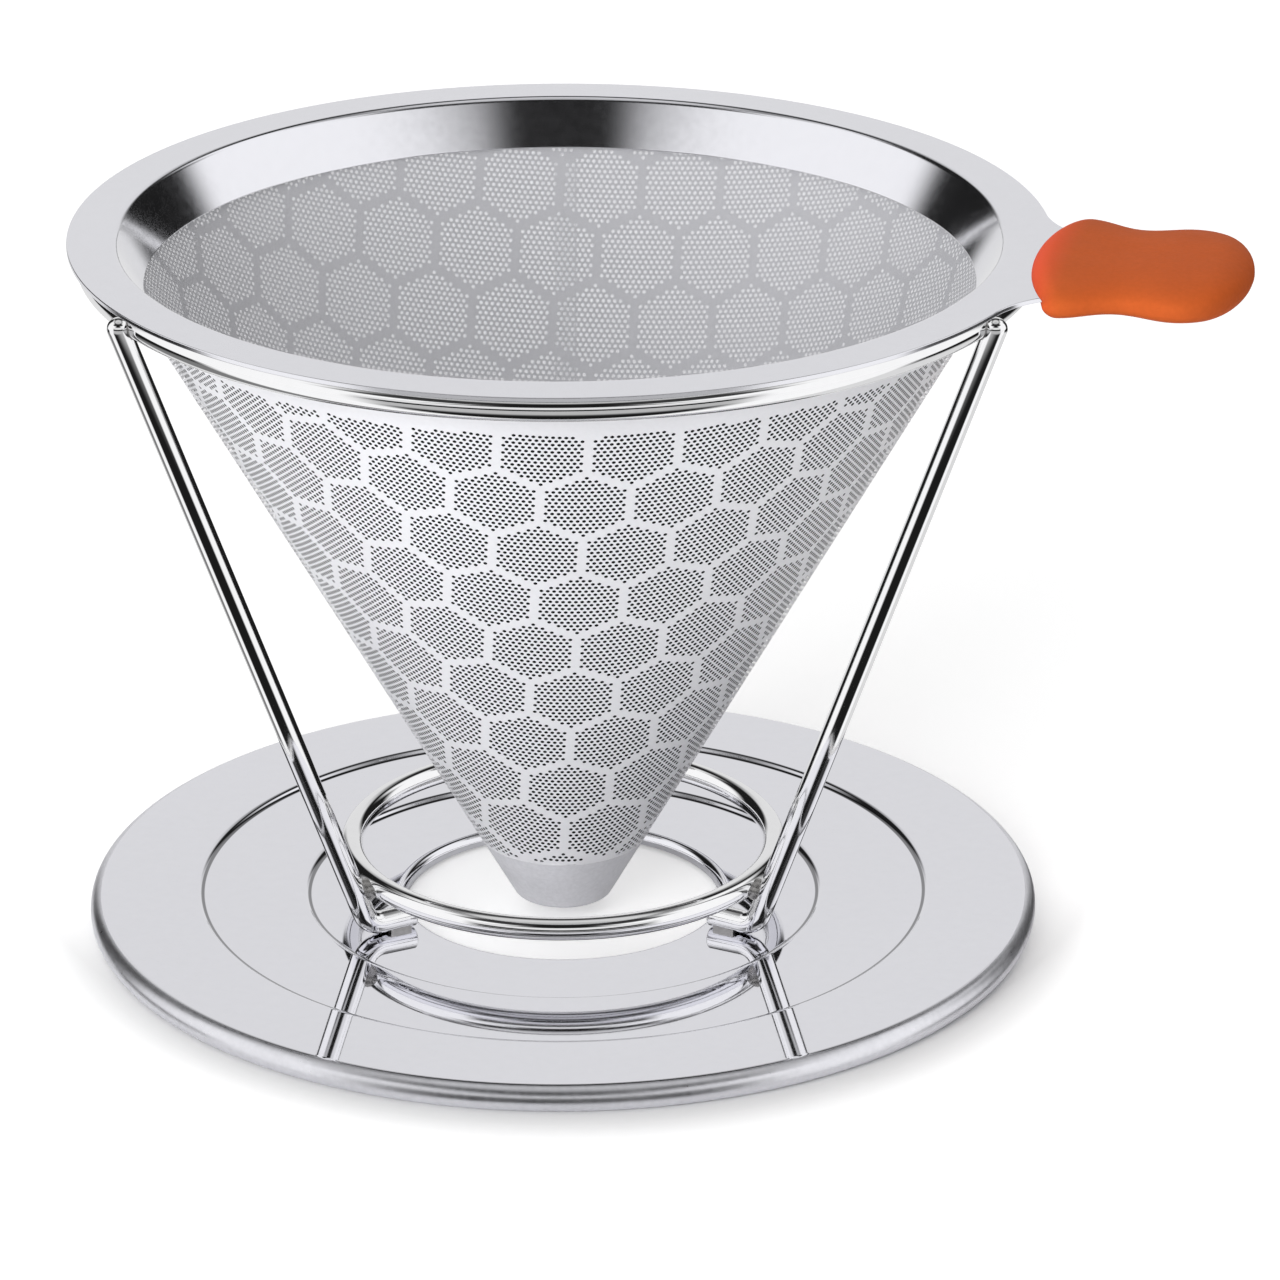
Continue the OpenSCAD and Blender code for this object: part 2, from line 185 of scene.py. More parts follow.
class DripperStage(bpy.types.PropertyGroup):
    """The studio and the camera."""

    eye: spot("Eye", "Place of the camera", (0.1707, -0.7230, 0.3429))
    aim: spot("Aim", "Point that the camera looks at", (0.00992, 0.0022, 0.03779))
    lens: FloatProperty(
        name="Lens", description="Focal length in millimetres on a 36 mm sensor", default=173.1, min=20.0
    )
    lamp_eye: spot("Lamp", "Place of the front lamp", (-0.3, -0.85, 0.33))
    lamp_aim: spot("Lamp aim", "Point that the front lamp shines at", (0.0, 0.0, 0.05))
    lamp_size: length("Lamp size", "Width of the front lamp", 500.0)
    lamp_watts: FloatProperty(name="Lamp power", description="Power of the front lamp", default=5.0, min=0.0)


def mm(value):
    """A length property in millimetres."""
    return value / MM


def grid_quads(rows, cols, wrap_rows=False, wrap_cols=False):
    """Corner numbers of the quads of a grid of rows x cols points, closed round either way if asked."""
    i = np.arange(rows if wrap_rows else rows - 1)[:, None]
    j = np.arange(cols if wrap_cols else cols - 1)[None, :]
    a, b = i % rows, (i + 1) % rows
    c, d = j % cols, (j + 1) % cols
    return np.stack([a * cols + c, b * cols + c, b * cols + d, a * cols + d], -1).reshape(-1, 4)


def build(name, points, quads, fans=(), uv=None, smooth=True):
    """A mesh object at the origin from points in millimetres, quads, and fans of triangles.

    Degenerate quads aren't made: a fan closes each pole. uv has one pair for each corner of the quads.
    """
    fans = np.asarray(fans, int).reshape(-1, 3)
    corners = np.concatenate([np.asarray(quads).ravel(), fans.ravel()])
    totals = np.concatenate([np.full(len(quads), 4), np.full(len(fans), 3)])
    starts = np.concatenate([[0], np.cumsum(totals)[:-1]])
    mesh = bpy.data.meshes.new(name)
    mesh.vertices.add(len(points))
    mesh.vertices.foreach_set("co", (np.asarray(points) * MM).astype(np.float32).ravel())
    mesh.loops.add(len(corners))
    mesh.loops.foreach_set("vertex_index", corners.astype(np.int32))
    mesh.polygons.add(len(totals))
    mesh.polygons.foreach_set("loop_start", starts.astype(np.int32))
    mesh.polygons.foreach_set("loop_total", totals.astype(np.int32))
    mesh.polygons.foreach_set("use_smooth", np.full(len(totals), smooth))
    if uv is not None:
        flat = mesh.uv_layers.new(name="flat")
        flat.data.foreach_set("uv", np.asarray(uv, np.float32).ravel())
    mesh.update(calc_edges=True)
    mesh.validate()
    piece = bpy.data.objects.new(name, mesh)
    bpy.context.scene.collection.objects.link(piece)
    return piece


def place(piece, body, slot, nodes, *materials):
    """Gives a piece its finish, its body and the solids that it stands for."""
    for material in materials:
        piece.data.materials.append(material)
    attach(piece, body)
    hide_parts(*nodes)
    return piece


def rounded_outline(corners, step=7.0, hold=0.05):
    """Closed outline through corners (r, z, radius).

    Each corner gives way to an arc that touches both its sides, in steps of a few degrees, and each
    side gets a point close to each of its ends, so that its shading stays flat.
    """
    p = np.array([c[:2] for c in corners], float)
    before, after = np.roll(p, 1, 0) - p, np.roll(p, -1, 0) - p
    to_before, to_after = np.linalg.norm(before, axis=1), np.linalg.norm(after, axis=1)
    a, b = before / to_before[:, None], after / to_after[:, None]
    turn = math.pi - np.arccos(np.clip((a * b).sum(1), -1, 1))
    out = []
    for i, (_, _, radius) in enumerate(corners):
        cut = radius * math.tan(turn[i] / 2)
        start, end = p[i] + a[i] * cut, p[i] + b[i] * cut
        middle = a[i] + b[i]
        middle = middle / max(np.linalg.norm(middle), 1e-9)
        centre = p[i] + middle * radius / math.cos(turn[i] / 2)
        first = math.atan2(*(start - centre)[::-1])
        sweep = (math.atan2(*(end - centre)[::-1]) - first + math.pi) % TAU - math.pi
        t = first + sweep * np.linspace(0, 1, max(2, math.ceil(math.degrees(turn[i]) / step)) + 1)
        arc = centre + radius * np.stack([np.cos(t), np.sin(t)], 1)
        spare = [min(hold, (d - cut) / 4) for d in (to_before[i], to_after[i])]
        out.append(np.concatenate([[start + a[i] * spare[0]], arc, [end + b[i] * spare[1]]]))
    return np.concatenate(out)


def revolved(outline, steps):
    """Points of a closed outline (r, z) carried once round the Z axis: (r cos t, r sin t, z)."""
    t = np.arange(steps)[:, None] * TAU / steps
    r, z = outline[None, :, 0], outline[None, :, 1]
    return np.stack([r * np.cos(t), r * np.sin(t), z + 0 * t], -1)


def outward(outline):
    """The outline in the order that makes a revolved surface face outwards."""
    r, z = outline.T
    area = (r * np.roll(z, -1) - np.roll(r, -1) * z).sum()
    return outline if area > 0 else outline[::-1]


def revolved_piece(name, outline, steps=320):
    """A closed body of revolution from its section."""
    grid = revolved(outward(outline), steps)
    return build(name, grid.reshape(-1, 3), grid_quads(steps, grid.shape[1], True, True))


def wire_along(name, path, radii, across, sides=40):
    """A wire: circles of the given radii carried along a path that lies in a plane.

    across is the plane's normal, so the circle at a point is spanned by across and by the
    cross product of across and the path's direction. A fan closes each end.
    """
    ahead = np.gradient(path, axis=0)
    ahead /= np.linalg.norm(ahead, axis=-1, keepdims=True)
    across = np.asarray(across, float)
    if across.ndim == 1:
        across = np.broadcast_to(across, path.shape)
    up = np.cross(ahead, across)
    t = (np.arange(sides) * TAU / sides)[None, :, None]
    rings = path[:, None] + radii[:, None, None] * (np.cos(t) * across[:, None] + np.sin(t) * up[:, None])
    n = len(path)
    points = np.concatenate([rings.reshape(-1, 3), path[:1], path[-1:]])
    k = np.arange(sides)
    first = np.stack([np.full(sides, n * sides), k, (k + 1) % sides], 1)
    end = (n - 1) * sides
    last = np.stack([np.full(sides, n * sides + 1), end + (k + 1) % sides, end + k], 1)
    return build(name, points, grid_quads(n, sides, False, True)[:, ::-1], np.concatenate([first, last]))


def half_angle(s):
    """Half the opening angle of the cone."""
    return math.atan((s.mouth_r - s.tip_in_r) / s.depth)


def cone_r(s, z, out):
    """Radius in millimetres at height z of the cone's face that lies out beyond the band's inner face."""
    h = half_angle(s)
    return mm(s.mouth_r) - (mm(s.rim_top) - z) * math.tan(h) + out / math.cos(h)


def make_group(name, inputs, outputs):
    """An empty shader node group with named sockets, and its two end nodes."""
    group = bpy.data.node_groups.new(name, "ShaderNodeTree")
    for label, kind, default in inputs:
        socket = group.interface.new_socket(label, in_out="INPUT", socket_type=kind)
        if default is not None:
            socket.default_value = default
    for label, kind in outputs:
        group.interface.new_socket(label, in_out="OUTPUT", socket_type=kind)
    return group, group.nodes.new("NodeGroupInput"), group.nodes.new("NodeGroupOutput")


def add(tree, kind, **settings):
    """A new node with some of its settings."""
    node = tree.nodes.new(kind)
    for key, value in settings.items():
        setattr(node, key, value)
    return node


def maths(tree, operation, a, b):
    """A maths node on two values or sockets, and its result."""
    node = add(tree, "ShaderNodeMath", operation=operation)
    for socket, value in zip(node.inputs, (a, b)):
        if isinstance(value, (int, float)):
            socket.default_value = value
        else:
            tree.links.new(value, socket)
    return node.outputs[0]


def plus(tree, a, b):
    """The sum of two values or sockets."""
    return maths(tree, "ADD", a, b)


def minus(tree, a, b):
    """What is left of a without b."""
    return maths(tree, "SUBTRACT", a, b)


def times(tree, a, b):
    """The product of two values or sockets."""
    return maths(tree, "MULTIPLY", a, b)


def most(tree, a, b):
    """The greater of two values or sockets."""
    return maths(tree, "MAXIMUM", a, b)


def slope(tree, value, start, end):
    """A smooth step from 0 at start to 1 at end."""
    step = add(tree, "ShaderNodeMapRange", interpolation_type="SMOOTHSTEP")
    tree.links.new(value, step.inputs["Value"])
    falls = start > end
    step.inputs["From Min"].default_value = min(start, end)
    step.inputs["From Max"].default_value = max(start, end)
    step.inputs["To Min"].default_value = 1.0 if falls else 0.0
    step.inputs["To Max"].default_value = 0.0 if falls else 1.0
    return step.outputs["Result"]


def grain_group():
    """Fine and broad noise in one group: a mask between low and high, and a height for a bump."""
    if "steel_grain" in bpy.data.node_groups:
        return bpy.data.node_groups["steel_grain"]
    group, given, out = make_group(
        "steel_grain",
        [
            ("Vector", "NodeSocketVector", None),
            ("Fine", "NodeSocketFloat", 3000.0),
            ("Broad", "NodeSocketFloat", 60.0),
            ("Low", "NodeSocketFloat", 0.0),
            ("High", "NodeSocketFloat", 1.0),
        ],
        [("Mask", "NodeSocketFloat"), ("Height", "NodeSocketFloat")],
    )
    fine = add(group, "ShaderNodeTexNoise")
    fine.inputs["Detail"].default_value = 3.0
    broad = add(group, "ShaderNodeTexNoise")
    broad.inputs["Detail"].default_value = 4.0
    group.links.new(given.outputs["Vector"], fine.inputs["Vector"])
    group.links.new(given.outputs["Vector"], broad.inputs["Vector"])
    group.links.new(given.outputs["Fine"], fine.inputs["Scale"])
    group.links.new(given.outputs["Broad"], broad.inputs["Scale"])
    halves = [times(group, noise.outputs["Fac"], 0.5) for noise in (fine, broad)]
    both = plus(group, *halves)
    spread = add(group, "ShaderNodeMapRange")
    spread.inputs["From Min"].default_value = 0.3
    spread.inputs["From Max"].default_value = 0.7
    group.links.new(both, spread.inputs["Value"])
    group.links.new(given.outputs["Low"], spread.inputs["To Min"])
    group.links.new(given.outputs["High"], spread.inputs["To Max"])
    group.links.new(spread.outputs["Result"], out.inputs["Mask"])
    group.links.new(fine.outputs["Fac"], out.inputs["Height"])
    return group


def tint_group():
    """Shades a colour by a mask: the colour times a factor that runs from dark to light."""
    if "tone" in bpy.data.node_groups:
        return bpy.data.node_groups["tone"]
    group, given, out = make_group(
        "tone",
        [
            ("Color", "NodeSocketColor", (0.8, 0.8, 0.8, 1.0)),
            ("Mask", "NodeSocketFloat", 0.5),
            ("Dark", "NodeSocketFloat", 0.95),
            ("Light", "NodeSocketFloat", 1.0),
        ],
        [("Color", "NodeSocketColor")],
    )
    factor = add(group, "ShaderNodeMapRange")
    group.links.new(given.outputs["Mask"], factor.inputs["Value"])
    group.links.new(given.outputs["Dark"], factor.inputs["To Min"])
    group.links.new(given.outputs["Light"], factor.inputs["To Max"])
    scale = add(group, "ShaderNodeVectorMath", operation="SCALE")
    group.links.new(given.outputs["Color"], scale.inputs[0])
    group.links.new(factor.outputs["Result"], scale.inputs["Scale"])
    group.links.new(scale.outputs[0], out.inputs["Color"])
    return group


def place_group(tree, group, **values):
    """A group in a material, with its own values."""
    node = add(tree, "ShaderNodeGroup", node_tree=group)
    for label, value in values.items():
        node.inputs[label].default_value = value
    return node


def finish_material(name, rgb, metallic, rough, fine, broad, dark, bump=0.0, bump_mm=0.02, gloss=0.5):
    """A finish: a colour and a roughness that vary with grain on Object coordinates, and a fine bump.

    rough is the least and the greatest roughness, fine and broad are the scales of the grain, and
    dark is the share that the colour falls to.
    """
    material = bpy.data.materials.get(name)
    if material is not None:
        return material
    material = bpy.data.materials.new(name)
    material.use_nodes = True
    tree = material.node_tree
    shader = tree.nodes["Principled BSDF"]
    where = add(tree, "ShaderNodeTexCoord")
    grain = place_group(tree, grain_group(), Fine=fine, Broad=broad, Low=rough[0], High=rough[1])
    tree.links.new(where.outputs["Object"], grain.inputs["Vector"])
    shade = place_group(tree, grain_group(), Fine=fine * 0.7, Broad=broad * 0.6)
    tree.links.new(where.outputs["Object"], shade.inputs["Vector"])
    tone = place_group(tree, tint_group(), Color=(*rgb, 1.0), Dark=dark, Light=1.0)
    tree.links.new(shade.outputs["Mask"], tone.inputs["Mask"])
    tree.links.new(tone.outputs["Color"], shader.inputs["Base Color"])
    tree.links.new(grain.outputs["Mask"], shader.inputs["Roughness"])
    shader.inputs["Metallic"].default_value = metallic
    shader.inputs["Specular IOR Level"].default_value = gloss
    if bump:
        raise_ = add(tree, "ShaderNodeBump")
        raise_.inputs["Strength"].default_value = bump
        raise_.inputs["Distance"].default_value = bump_mm * MM
        tree.links.new(grain.outputs["Height"], raise_.inputs["Height"])
        tree.links.new(raise_.outputs["Normal"], shader.inputs["Normal"])
    return material


def dim(material, mask, dark):
    """Dim a finish's colour to the dark share where the mask falls to 0."""
    tree = material.node_tree
    shader = tree.nodes["Principled BSDF"]
    tone = place_group(tree, tint_group(), Dark=dark, Light=1.0)
    tree.links.new(shader.inputs["Base Color"].links[0].from_socket, tone.inputs["Color"])
    tree.links.new(mask, tone.inputs["Mask"])
    tree.links.new(tone.outputs["Color"], shader.inputs["Base Color"])


def polished_plate(f, creases):
    """Mirror finish of the base plate, darkened in the narrow creases at the given radii by a painted shade.
    """
    material = finish_material("polished_plate", f.polished, 1.0, (0.02, 0.05), 900.0, 25.0, dark=0.97)
    tree = material.node_tree
    where = add(tree, "ShaderNodeTexCoord")
    plan = add(tree, "ShaderNodeVectorMath", operation="MULTIPLY")
    plan.inputs[1].default_value = (1.0, 1.0, 0.0)
    tree.links.new(where.outputs["Object"], plan.inputs[0])
    reach = add(tree, "ShaderNodeVectorMath", operation="LENGTH")
    tree.links.new(plan.outputs[0], reach.inputs[0])
    # clear falls to 0 in each crease, where the colour is darkened: a painted shade.
    clear = 1.0
    for crease in creases:
        off = maths(tree, "ABSOLUTE", minus(tree, reach.outputs["Value"], crease * MM), 0.0)
        clear = times(tree, clear, slope(tree, off, 0.5 * f.crease, f.crease))
    dim(material, clear, CREASE_PAINTED_SHADE)
    return material


def brushed_edge(f):
    """Brushed finish of the plate's rolled edge."""
    return finish_material("brushed_edge", f.polished, 1.0, (0.26, 0.4), 1600.0, 90.0, dark=0.86, bump=0.2)


def bright_rim(f):
    """Soft polish of the flange and its band."""
    return finish_material("bright_rim", f.polished, 1.0, (0.10, 0.17), 900.0, 25.0, dark=0.97)


def polished_wire(f):
    """Bright drawn wire."""
    return finish_material("polished_wire", f.wire, 1.0, (0.03, 0.07), 1200.0, 40.0, dark=0.96)


def satin_sheet(f):
    """Satin etched sheet of the cone."""
    return finish_material("satin_sheet", f.satin, 0.15, (0.4, 0.5), 2500.0, 90.0, dark=0.95, bump=0.15)


def matt_steel(f):
    """Matt grainy steel of the tip."""
    return finish_material("matt_steel", f.matt, 0.2, (0.46, 0.6), 2600.0, 300.0, dark=0.84, bump=0.5)


def weld_metal(f):
    """Dull weld metal."""
    return finish_material(
        "weld_metal", f.weld, 1.0, (0.3, 0.5), 1800.0, 400.0, dark=0.75, bump=0.4, bump_mm=0.05
    )


class DRIPPER_OT_base_plate(bpy.types.Operator):
    """Make the pressed base plate"""

    bl_idname = "dripper.base_plate"
    bl_label = "Base plate"

    def execute(self, context):
        s, f = context.scene.dripper_stand, context.scene.dripper_finish
        sheet, top, drop, run = mm(s.plate_sheet), mm(s.plate_top), mm(s.step_drop), mm(s.step_run)
        outer, inner, hole = mm(s.outer_step_r), mm(s.inner_step_r), mm(s.hole_r)
        rim, roll, soft, lip = mm(s.plate_r), mm(s.roll_r), mm(s.step_round), mm(s.lip_round)
        fall, low = mm(s.ring_fall), top - 2 * drop
        step = drop - 1.5 * fall
        high, mid, mid_in, low_out = top - fall, top - fall - step, top - 2 * fall - step, low + fall
        axis_x, axis_z = rim - roll, top - roll
        small = 0.06  # rounding of the sheet's cut edges
        under = roll * 0.86  # the roll is a little flat where it stands
        outline = rounded_outline(
            [
                (hole, mm(s.lip_lift), small),
                (hole, low, lip),
                (inner - run, low_out, soft),
                (inner, mid_in, soft),
                (outer - run, mid, soft),
                (outer, high, soft),
                (rim, top, roll),
                (rim, 0.0, under),
                (axis_x - roll, 0.0, under),
                (axis_x - roll, axis_z, small),
                (axis_x - roll + sheet, axis_z, small),
                (axis_x - roll + sheet, sheet, roll - sheet),
                (rim - sheet, sheet, roll - sheet),
                (rim - sheet, top - sheet, roll - sheet),
                (outer, high - sheet, soft),
                (outer - run, mid - sheet, soft),
                (inner, mid_in - sheet, soft),
                (inner - run, low_out - sheet, soft),
                (hole + sheet, low - sheet, lip - sheet),
                (hole + sheet, mm(s.lip_lift), small),
            ]
        )
        piece = revolved_piece("base_plate_sheet", outline)
        polished = polished_plate(f, (inner - run, outer - run))
        place(piece, "stand", "plate_steel", ["base_plate"], polished, brushed_edge(f))
        centres = np.empty(len(piece.data.polygons) * 3, np.float32)
        piece.data.polygons.foreach_get("center", centres)
        brushed_r = axis_x + 0.5  # the brushing starts where the roll turns down
        rolled = np.hypot(centres[0::3], centres[1::3]) > brushed_r * MM
        piece.data.polygons.foreach_set("material_index", rolled.astype(np.int32))
        return {"FINISHED"}


class DRIPPER_OT_wire_stand(bpy.types.Operator):
    """Make the rings and legs of the wire stand"""

    bl_idname = "dripper.wire_stand"
    bl_label = "Wire stand"

    def execute(self, context):
        s, f = context.scene.dripper_stand, context.scene.dripper_finish
        wire = mm(s.wire_r)
        t = np.arange(48) * TAU / 48
        circle = np.stack([np.cos(t), np.sin(t)], 1) * wire
        for name, r, z in (
            ("upper_ring", mm(s.upper_ring_r), mm(s.upper_ring_z)),
            ("lower_ring", mm(s.lower_ring_r), mm(s.lower_ring_z)),
        ):
            ring = revolved_piece(name + "_wire", circle + [r, z])
            place(ring, "stand", "wire_steel", [name], polished_wire(f))
        for name, turn in (("leg_left", 210.0), ("leg_right", 330.0), ("leg_rear", 90.0)):
            leg = self.leg(s, name + "_wire", math.radians(turn) + s.stand_turn)
            place(leg, "stand", "wire_steel", [name], polished_wire(f))
            leg.visible_glossy = name != "leg_rear"
        return {"FINISHED"}

    def leg(self, s, name, turn):
        """A leg's wire: a straight foot, an arc of the bend radius, a straight leg and a domed end."""
        wire, foot_z, bend = mm(s.wire_r), mm(s.foot_z), mm(s.foot_bend)
        corner, ring_r, ring_z = mm(s.foot_corner_r), mm(s.upper_ring_r), mm(s.upper_ring_z)
        tilt = math.atan((ring_r + mm(s.leg_set) - corner) / (ring_z - foot_z))
        sweep = math.pi / 2 - tilt
        bend_x = corner - bend * math.tan(sweep / 2)
        start = np.array([bend_x + bend * math.cos(tilt), foot_z + bend - bend * math.sin(tilt)])
        ahead = np.array([math.sin(tilt), math.cos(tilt)])
        run = (ring_z - mm(s.leg_drop) - start[1]) / math.cos(tilt)
        end_x, small = mm(s.foot_end_r), 0.25  # the foot's cut end is rounded a little
        k = np.linspace(0, math.pi / 2, 7)
        foot_r = wire - small + small * np.sin(k)
        foot_x = end_x + small * (1 - np.cos(k))
        foot = np.stack([foot_x, np.full(len(k), foot_z)], 1)
        a = np.linspace(0, sweep, 17)
        arc = np.stack([bend_x + bend * np.sin(a), foot_z + bend - bend * np.cos(a)], 1)
        lengths = np.linspace(0, run, 24)[1:]
        straight = start + ahead * lengths[:, None]
        q = np.linspace(0, 1, 14)[1:-1] * math.pi / 2
        dome = start + ahead * (run + wire * np.sin(q))[:, None]
        tip = start + ahead * (run + wire * 0.9999)  # the pole is a tiny ring that a fan closes
        flat = np.concatenate([foot, arc, straight, dome, tip[None]])
        even = np.full(len(arc) + len(straight), wire)
        radii = np.concatenate([foot_r, even, wire * np.cos(q), [wire * 0.012]])
        out = np.array([math.cos(turn), math.sin(turn), 0.0])
        across = np.array([-math.sin(turn), math.cos(turn), 0.0])
        path = flat[:, :1] * out + flat[:, 1:] * np.array([0.0, 0.0, 1.0])
        return wire_along(name, path, radii, across)


class DRIPPER_OT_welds(bpy.types.Operator):
    """Dress the welds of the stand"""

    bl_idname = "dripper.welds"
    bl_label = "Welds"

    def execute(self, context):
        material = weld_metal(context.scene.dripper_finish)
        for name in ("upper_ring_welds", "lower_ring_welds", "foot_welds"):
            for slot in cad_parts[name].material_slots:
                slot.material = material
        return {"FINISHED"}


class DRIPPER_OT_rim(bpy.types.Operator):
    """Make the flange with its band and tongue"""

    bl_idname = "dripper.rim"
    bl_label = "Rim flange"

    def execute(self, context):
        s, f = context.scene.dripper_filter, context.scene.dripper_finish
        h, sheet, top, bend = half_angle(s), mm(s.rim_sheet), mm(s.rim_top), mm(s.rim_bend)
        mouth, rim, low = mm(s.mouth_r), mm(s.rim_r), top - mm(s.band_depth)
        small = 0.12  # rounding of the sheet's cut edges
        under = mouth + (sheet - sheet * math.sin(h)) / math.cos(h)
        outline = rounded_outline(
            [
                (rim, top, small),
                (mouth, top, bend),
                (cone_r(s, low, 0.0), low, small),
                (cone_r(s, low, sheet), low, small),
                (under, top - sheet, bend - sheet),
                (rim, top - sheet, small),
            ],
            step=5.0,
        )
        outline = outward(outline)
        fine = 26  # degrees on each side of the tongue that have closer points
        near = np.radians(np.linspace(-fine, fine, 209))
        away = np.radians(np.linspace(fine, 360 - fine, 309)[1:-1])
        t = np.concatenate([near, away])
        flat_r = mouth + bend * math.tan((math.pi / 2 - h) / 2) + 0.1
        share = np.clip((outline[:, 0] - flat_r) / (rim - flat_r), 0, None)[None]
        r = outline[None, :, 0] + share * (self.reach(s, t)[:, None] - rim)
        z = np.broadcast_to(outline[:, 1], r.shape)
        grid = np.stack([r * np.cos(t)[:, None], r * np.sin(t)[:, None], z], -1)
        piece = build("rim_flange_sheet", grid.reshape(-1, 3), grid_quads(len(t), len(outline), True, True))
        place(piece, "filter", "rim_steel", ["rim_flange"], bright_rim(f))
        piece.visible_glossy = False
        return {"FINISHED"}

    def reach(self, s, t):
        """How far the flange reaches in direction t.

        That is the rim's circle, or the fillet's arc, or the tongue's sides and end.
        """
        rim, half, fillet, end = mm(s.rim_r), mm(s.tongue_half), mm(s.tongue_fillet), mm(s.tongue_end)
        t = np.abs((t + math.pi) % TAU - math.pi)
        cx, cy = math.sqrt((rim + fillet) ** 2 - (half + fillet) ** 2), half + fillet
        along = cx * np.cos(t) + cy * np.sin(t)
        aside = cx * np.sin(t) - cy * np.cos(t)
        arc = along - np.sqrt(np.maximum(fillet**2 - aside**2, 0))
        tongue = np.minimum(half / np.maximum(np.sin(t), 1e-6), end / np.maximum(np.cos(t), 1e-6))
        return np.where(t > math.atan2(cy, cx), rim, np.where(t > math.atan2(half, cx), arc, tongue))


class DRIPPER_OT_cone(bpy.types.Operator):
    """Make the perforated cone"""

    bl_idname = "dripper.cone"
    bl_label = "Perforated cone"

    def execute(self, context):
        s, f = context.scene.dripper_filter, context.scene.dripper_finish
        h = half_angle(s)
        out = mm(s.cone_out)
        apex = mm(s.rim_top) - cone_r(s, mm(s.rim_top), out) / math.tan(h)
        low = mm(s.rim_top) - mm(s.depth) + mm(s.tip_h)
        first, last = (low - apex) / math.cos(h), (mm(s.rim_top) - mm(s.rim_sheet) - apex) / math.cos(h)
        ends = -math.pi / 2 * math.sin(h), math.pi / 2 * math.sin(h)
        for name, front, turn, start, plain_z in (
            ("front", s.comb_front, s.comb_turn, s.comb_start, s.plain_top),
            ("back", s.comb_front + math.pi, s.comb_turn_back, s.comb_start_back, s.plain_top_back),
        ):
            plain = (mm(plain_z) - apex) / math.cos(h)
            centres, pierced = self.cells(s, first, last, plain, ends, turn, np.array(start) / MM)
            points, quads = self.sheet(s, centres, pierced, turn)
            slant = np.clip(np.hypot(*points.T), first, last)
            fan = np.clip(np.arctan2(points[:, 0], -points[:, 1]), *ends)
            t = fan / math.sin(h) + front
            r, z = slant * math.sin(h), apex + slant * math.cos(h)
            solid = np.stack([r * np.cos(t), r * np.sin(t), z], 1)
            piece = build("perforated_cone_" + name, solid, quads)
            place(piece, "filter", "cone_steel", ["perforated_cone"], satin_sheet(f))
            piece.visible_glossy = False
        return {"FINISHED"}

    def cells(self, s, first, last, plain, ends, turn, start):
        """Centres of the small hexagons that tile the flat sheet, and which of them have a hole.

        The flat sheet is a fan about the cone's apex. The small hexagons stand on a triangular lattice,
        a whole number of which crosses one cell of the honeycomb, and a hole is left out where it
        would come close to the edge of such a cell, to the fan's edges or to the plain top.
        """
        wide, n = mm(s.comb_w), s.comb_holes
        pitch = wide / n
        span = int(last / pitch * 1.2) + 4
        i, j = np.meshgrid(np.arange(-span, span + 1), np.arange(-span, span + 1))
        flat = np.stack([(i + (j % 2) / 2) * pitch, j * pitch * math.sqrt(3) / 2], -1).reshape(-1, 2)
        spin = np.array([[math.cos(turn), math.sin(turn)], [-math.sin(turn), math.cos(turn)]])
        centres = flat @ spin + start
        slant = np.hypot(*centres.T)
        fan = np.arctan2(centres[:, 0], -centres[:, 1])
        from_seam = np.minimum(fan - ends[0], ends[1] - fan) * slant
        over, margin = pitch * 0.4, mm(s.comb_margin)
        inside = (slant > first - over) & (slant < last + over) & (from_seam > -over)
        flat, centres, slant, from_seam = flat[inside], centres[inside], slant[inside], from_seam[inside]
        pierced = self.from_edge(flat, wide) > mm(s.comb_border)
        pierced &= (slant > first + margin) & (slant < plain) & (from_seam > margin)
        return centres, pierced

    def from_edge(self, flat, wide):
        """Distance of points from the edge of the honeycomb cell that they lie in."""
        cell = np.array([wide, wide * math.sqrt(3)])
        a = flat - cell * np.round(flat / cell)
        shifted = flat - cell / 2
        b = shifted - cell * np.round(shifted / cell)
        near = np.where(((a**2).sum(1) < (b**2).sum(1))[:, None], a, b)
        x, y = near[:, 0], near[:, 1] * math.sqrt(3)
        reach = np.max([np.abs(x), np.abs(x + y) / 2, np.abs(x - y) / 2], 0)
        return wide / 2 - reach

    def sheet(self, s, centres, pierced, turn):
        """Points and quads of the small hexagons.

        Six quads make a ring round a hole, and two quads fill a hexagon without one. Corners that fall
        together on a fine grid are shared.
        """
        pitch = mm(s.comb_w) / s.comb_holes
        t = math.pi / 6 + np.arange(6) * math.pi / 3 + turn
        spoke = np.stack([np.cos(t), np.sin(t)], 1)
        corner = centres[:, None] + spoke * pitch / math.sqrt(3)
        column, row = np.round(corner.reshape(-1, 2) / 0.02).astype(np.int64).T
        keys = column * 1000003 + row
        _, index, place_of = np.unique(keys, return_index=True, return_inverse=True)
        shared = corner.reshape(-1, 2)[index]
        outer = place_of.reshape(-1, 6)
        rim = (centres[pierced][:, None] + spoke * mm(s.hole_r)).reshape(-1, 2)
        inner = len(shared) + np.arange(len(rim)).reshape(-1, 6)
        ring = outer[pierced]
        rings = np.stack([ring, inner, np.roll(inner, -1, 1), np.roll(ring, -1, 1)], -1).reshape(-1, 4)
        whole = outer[~pierced]
        quads = np.concatenate([rings, whole[:, [3, 2, 1, 0]], whole[:, [5, 4, 3, 0]]])
        return np.concatenate([shared, rim]), quads


